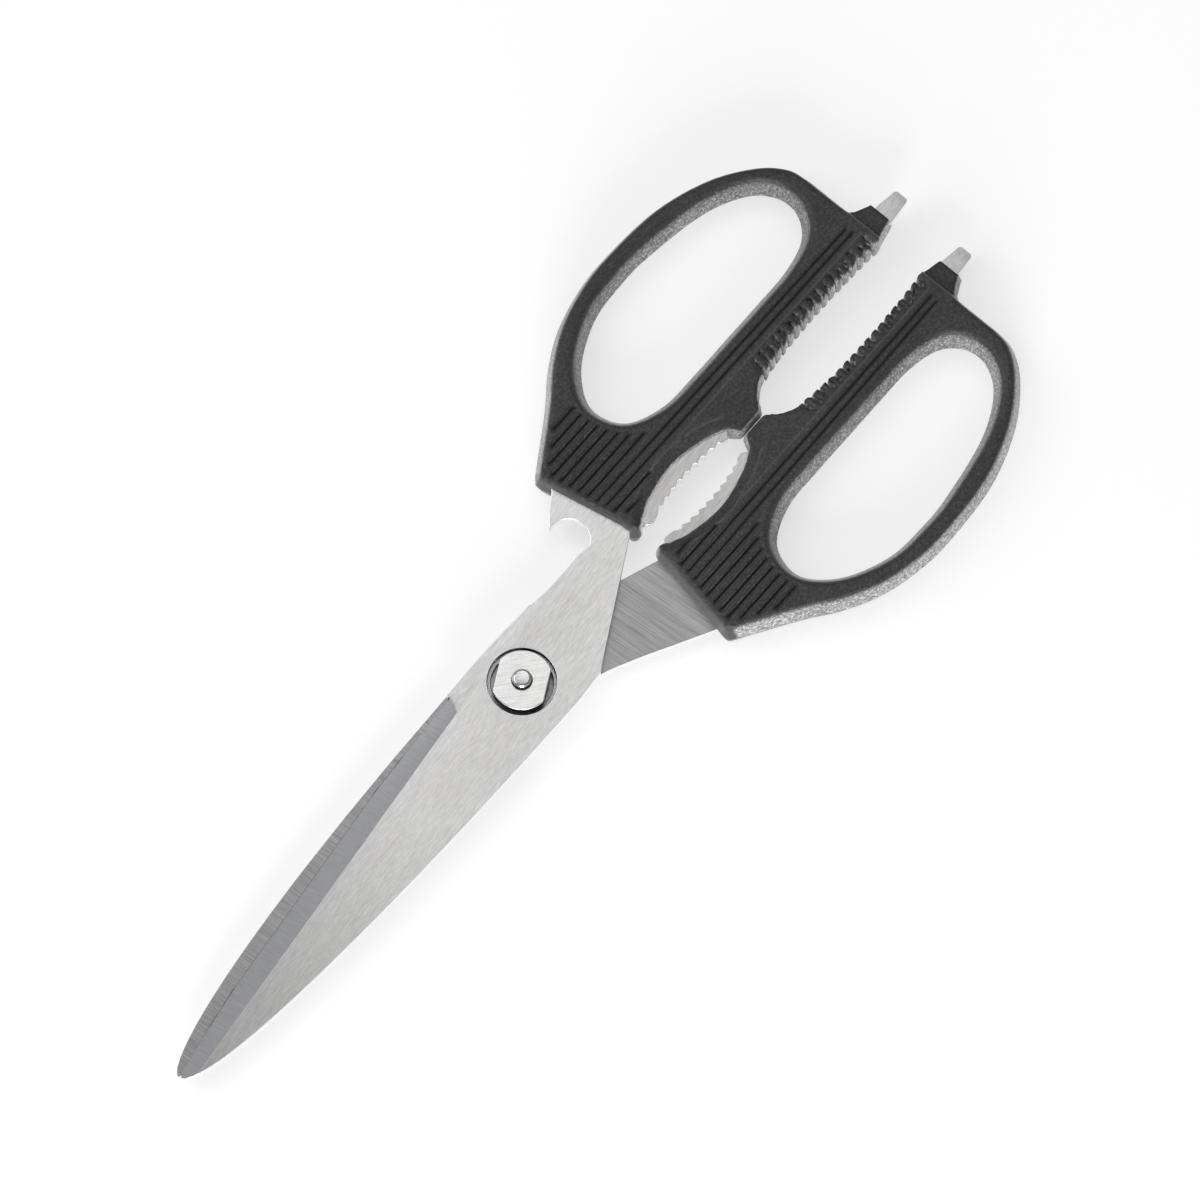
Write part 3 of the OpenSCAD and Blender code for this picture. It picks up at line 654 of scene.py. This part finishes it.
def moulded(name):
    """Black nylon with a spark-eroded grain, painted highlights along ridges and edges, painted light on its walls,
    painted shade in its grooves, and a hair-thin parting line round its middle.
    """
    n = Nodes(name)
    grain = n.noise(n.coords((1, 1, 1)), 4200.0, 3.0, 0.65)
    coarse = n.noise(n.coords((1, 1, 1)), 1700.0, 2.0, 0.55)
    patch = n.noise(n.coords((1, 1, 1)), 45.0, 2.0, 0.5)
    speck = n.math("ADD", n.math("MULTIPLY", grain, 0.55), n.math("MULTIPLY", coarse, 0.45))
    tone = n.math("ADD", n.math("MULTIPLY", speck, 0.88), n.math("MULTIPLY", patch, 0.12))
    face = n.ramp(tone, [(0.38, (0.008, 0.008, 0.009)), (0.53, (0.028, 0.028, 0.03)), (0.68, (0.075, 0.076, 0.08))])
    # Painted light: steep walls take this far paler ramp than the top face.
    wall = n.ramp(tone, [(0.38, (0.04, 0.04, 0.041)), (0.52, (0.26, 0.26, 0.262)), (0.65, (0.78, 0.78, 0.78))])
    coord = n.tree.nodes.new("ShaderNodeTexCoord")
    place = n.tree.nodes.new("ShaderNodeSeparateXYZ")
    n.join(coord.outputs["Object"], place.inputs[0])
    facing = n.tree.nodes.new("ShaderNodeSeparateXYZ")
    n.join(coord.outputs["Normal"], facing.inputs[0])
    upright = n.to_range(n.math("ABSOLUTE", facing.outputs[2], 0), 1.0, 0.0, 0.32, 0.62)
    # The walls get the painted light, except in the band by the front face.
    painted_wall_light = n.math("MULTIPLY", upright, n.math("SUBTRACT", 1.0, n.attribute("wall_light_off")))
    colour = n.mix(painted_wall_light, face, wall)
    # Painted highlight: paler along the ridges and edges marked in the mesh.
    colour = n.mix(n.attribute("edge_highlight"), colour, (0.085, 0.086, 0.09))
    # Painted shade: the grooves darken almost to black.
    colour = n.mix(n.math("MULTIPLY", n.attribute("groove_shade"), 0.92), colour, (0.0015, 0.0015, 0.0016))
    off = n.math("ABSOLUTE", n.math("SUBTRACT", place.outputs[2], PIVOT.z), 0)
    colour = n.mix(n.math("LESS_THAN", off, 0.00006), colour, (0.012, 0.012, 0.012))
    n.join(colour, n.bsdf.inputs["Base Color"])
    n.join(n.to_range(speck, 0.66, 0.44, 0.3, 0.7), n.bsdf.inputs["Roughness"])
    n.put("IOR", 1.46)
    n.put("Sheen Weight", 0.6)
    n.put("Sheen Roughness", 0.4)
    n.bump(speck, 0.6, 0.00012)
    return n.mat


# tip: painted shade darkens the satin and the bevel towards the blade's tip.
SATIN = steel("blade_satin", (0.44, 0.435, 0.43), (0.68, 0.675, 0.67), 480, 6200, turn=-4, rough=(0.27, 0.40),
              bump=0.22, broad=0.14, lo=0.28, hi=0.72, tip=0.62)
BEVEL = steel("blade_bevel", (0.37, 0.378, 0.394), (0.475, 0.483, 0.503), 5600, 300, turn=-3, rough=(0.5, 0.6),
              broad=0.2, tip=0.85)
GROUND = steel("blade_ground", (0.22, 0.218, 0.222), (0.42, 0.415, 0.418), 8200, 110, turn=-5, rough=(0.28, 0.46),
               bump=0.4, broad=0.14, lo=0.34, hi=0.66)
# Painted highlight: steel far paler than the blade's faces, for sides and broken edges.
RIM_HIGHLIGHT = steel("blade_rim_highlight", (0.86, 0.86, 0.86), (0.99, 0.99, 0.99), 160, 3000, rough=(0.35, 0.45), bump=0.04)
# Painted shade: near-black steel for walls and gaps that lie in shade.
SHADE = steel("steel_shade", (0.02, 0.02, 0.021), (0.06, 0.06, 0.062), 300, 3000, rough=(0.35, 0.5), bump=0.06)
# Painted shade: a darker steel for the recess floor round the lock plate.
RECESS_SHADE = turned_steel("recess_floor_shade", (0.15, 0.15, 0.15), (0.34, 0.34, 0.34), 1400.0)
PLATE = turned_steel("lock_plate_face", (0.52, 0.515, 0.51), (0.68, 0.675, 0.67), 900.0)
RIVET = turned_steel("rivet_end", (0.42, 0.42, 0.42), (0.66, 0.66, 0.655), 1500.0)
INSERT = steel("insert_satin", (0.33, 0.325, 0.315), (0.57, 0.56, 0.545), 340, 5200, turn=-8, rough=(0.3, 0.45),
               bump=0.2, broad=0.2)
PLASTIC = moulded("grip_plastic_grain")


def paint(obj, mats, choose):
    """Gives each face the material that choose returns for its centre and normal."""
    obj.data.materials.clear()
    for m in mats:
        obj.data.materials.append(m)
    for f in obj.data.polygons:
        f.material_index = choose(f.center, f.normal)


# ------------------------------------------------------------------ build

verts, faces, marks = grip_mesh()
for side, place in (("front", FRONT), ("rear", REAR)):
    mesh = from_arrays(side + "_grip_moulding", verts, faces, place)
    grip = link(side + "_grip_moulding", mesh, side + "_handle", side + "_half")
    mesh.materials.append(PLASTIC)
    for name, values in (("groove_shade", marks[:, 0]), ("edge_highlight", marks[:, 1]), ("wall_light_off", marks[:, 2])):
        layer = mesh.attributes.new(name, "FLOAT", "POINT")
        layer.data.foreach_set("value", values.astype(np.float32))

for side, place, s in (("front", FRONT, 1), ("rear", REAR, -1)):
    blade = copy_of(side + "_blade", side + "_blade_steel", side + "_half", 0.00017)

    def kind(c, n, s=s):
        """Slot in the blade's list of materials for a face with centre c and normal n."""
        x, y, z = (c - PIVOT) / MM
        y, z, nz = s * y, s * z, s * n.z
        # Recess wall: painted highlight between 45 and 125 degrees on the front blade, painted shade elsewhere.
        if math.hypot(x, y) < 9 and abs(nz) < 0.6 and abs(x) < 8.2:
            return 3 if s > 0 and 45 < math.degrees(math.atan2(y, x)) < 125 else 5
        # Painted shadow: a thin dark line along the cutting edge.
        if x < -12.5 and y > -2.6 and z < BLADE_Z0 + 0.36 and -0.2 < nz < 0.95:
            return 5
        if nz < -0.9:
            return 2
        # Faces looking up: the recess floor takes the darker steel as painted shade, the rest the satin.
        if nz > 0.985:
            return 4 if z < BLADE_Z1 - 0.5 and math.hypot(x, y) < 9 else 0
        if 0.6 < nz <= 0.985 and x < -12 and y > -2.6 and (z < BLADE_Z1 - 0.12 or x > -80):
            return 1
        # Every other face, the sides and broken edges, takes the painted highlight.
        return 3
    paint(blade, (SATIN, BEVEL, GROUND, RIM_HIGHLIGHT, RECESS_SHADE, SHADE), kind)
    jaw = jaw_piece(side + "_jaw_steel", side + "_jaw", side + "_half", place)
    # Jaw sides take the painted highlight.
    paint(jaw, (INSERT, RIM_HIGHLIGHT), lambda c, n: 0 if abs(n.z) > 0.9 else 1)
    tip = copy_of(side + "_driver", side + "_driver_steel", side + "_half", 0.00014)
    # Driver sides take the painted highlight.
    paint(tip, (INSERT, RIM_HIGHLIGHT), lambda c, n: 0 if abs(n.z) > 0.9 else 1)

plate = copy_of("pivot_lock_plate", "lock_plate_steel", "rear_half", 0.00022, 3)
# Lock plate: chamfers take the painted highlight, side walls the painted shade.
paint(plate, (PLATE, RIM_HIGHLIGHT, SHADE), lambda c, n: 0 if abs(n.z) > 0.9 else 1 if abs(n.z) > 0.25 else 2)
boss = copy_of("pivot_boss", "bearing_steel", "rear_half", 0.00008)
# Painted shade: the whole bearing takes the near-black steel.
paint(boss, (SHADE,), lambda c, n: 0)
rivet = copy_of("pivot_rivet", "rivet_steel", "rear_half", 0)
# Painted shade on the rivet's sides.
paint(rivet, (RIVET, SHADE), lambda c, n: 0 if abs(n.z) > 0.2 else 1)

# ------------------------------------------------------------------ stage, light and camera

bm = bmesh.new()
bmesh.ops.create_grid(bm, x_segments=1, y_segments=1, size=3.0)
floor_mesh = bpy.data.meshes.new("floor")
bm.to_mesh(floor_mesh)
bm.free()
floor = bpy.data.objects.new("floor", floor_mesh)
floor.location = (0, 0, cad_box[0][2])
bpy.context.scene.collection.objects.link(floor)
paper = Nodes("paper")
paper.put("Base Color", (0.42, 0.42, 0.42, 1))
paper.put("Emission Color", (1, 1, 1, 1))
paper.put("Emission Strength", 0.63)
paper.put("Roughness", 0.9)
paper.put("Specular IOR Level", 0.1)
floor_mesh.materials.append(paper.mat)

scene = bpy.context.scene
world = bpy.data.worlds.new("studio")
scene.world = world
world.use_nodes = True
world.node_tree.nodes["Background"].inputs[0].default_value = (1, 1, 1, 1)
world.node_tree.nodes["Background"].inputs[1].default_value = 0.28


def softbox(name, where, size, power):
    light = bpy.data.lights.new(name, "AREA")
    light.shape = "SQUARE"
    light.size = size
    light.energy = power
    obj = bpy.data.objects.new(name, light)
    obj.location = where
    obj.rotation_euler = (Vector((0.02, 0, 0)) - Vector(where)).to_track_quat("-Z", "Y").to_euler()
    scene.collection.objects.link(obj)


softbox("key", (0.55, 0.30, 1.25), 0.7, 2.3)
softbox("side", (-0.40, 0.86, 0.93), 1.0, 7.0)
softbox("low", (-0.90, -0.72, 0.34), 0.6, 17.0)

AZ, EL, FAR, VIEW_W = 49.7, 71.8, 6.0, 0.2526
az, el = math.radians(AZ), math.radians(EL)
target = PIVOT + Vector((0.025, -0.0003, 0))
cam = bpy.data.objects.new("camera", bpy.data.cameras.new("camera"))
cam.data.type = "PERSP"
cam.data.sensor_width = 36
cam.data.lens = 36 * FAR / VIEW_W
cam.location = target + FAR * Vector((-math.sin(az) * math.cos(el), -math.cos(az) * math.cos(el), math.sin(el)))
cam.rotation_euler = (target - cam.location).to_track_quat("-Z", "Y").to_euler()
scene.collection.objects.link(cam)
scene.camera = cam
scene.view_settings.view_transform = "Standard"

bpy.context.view_layer.update()
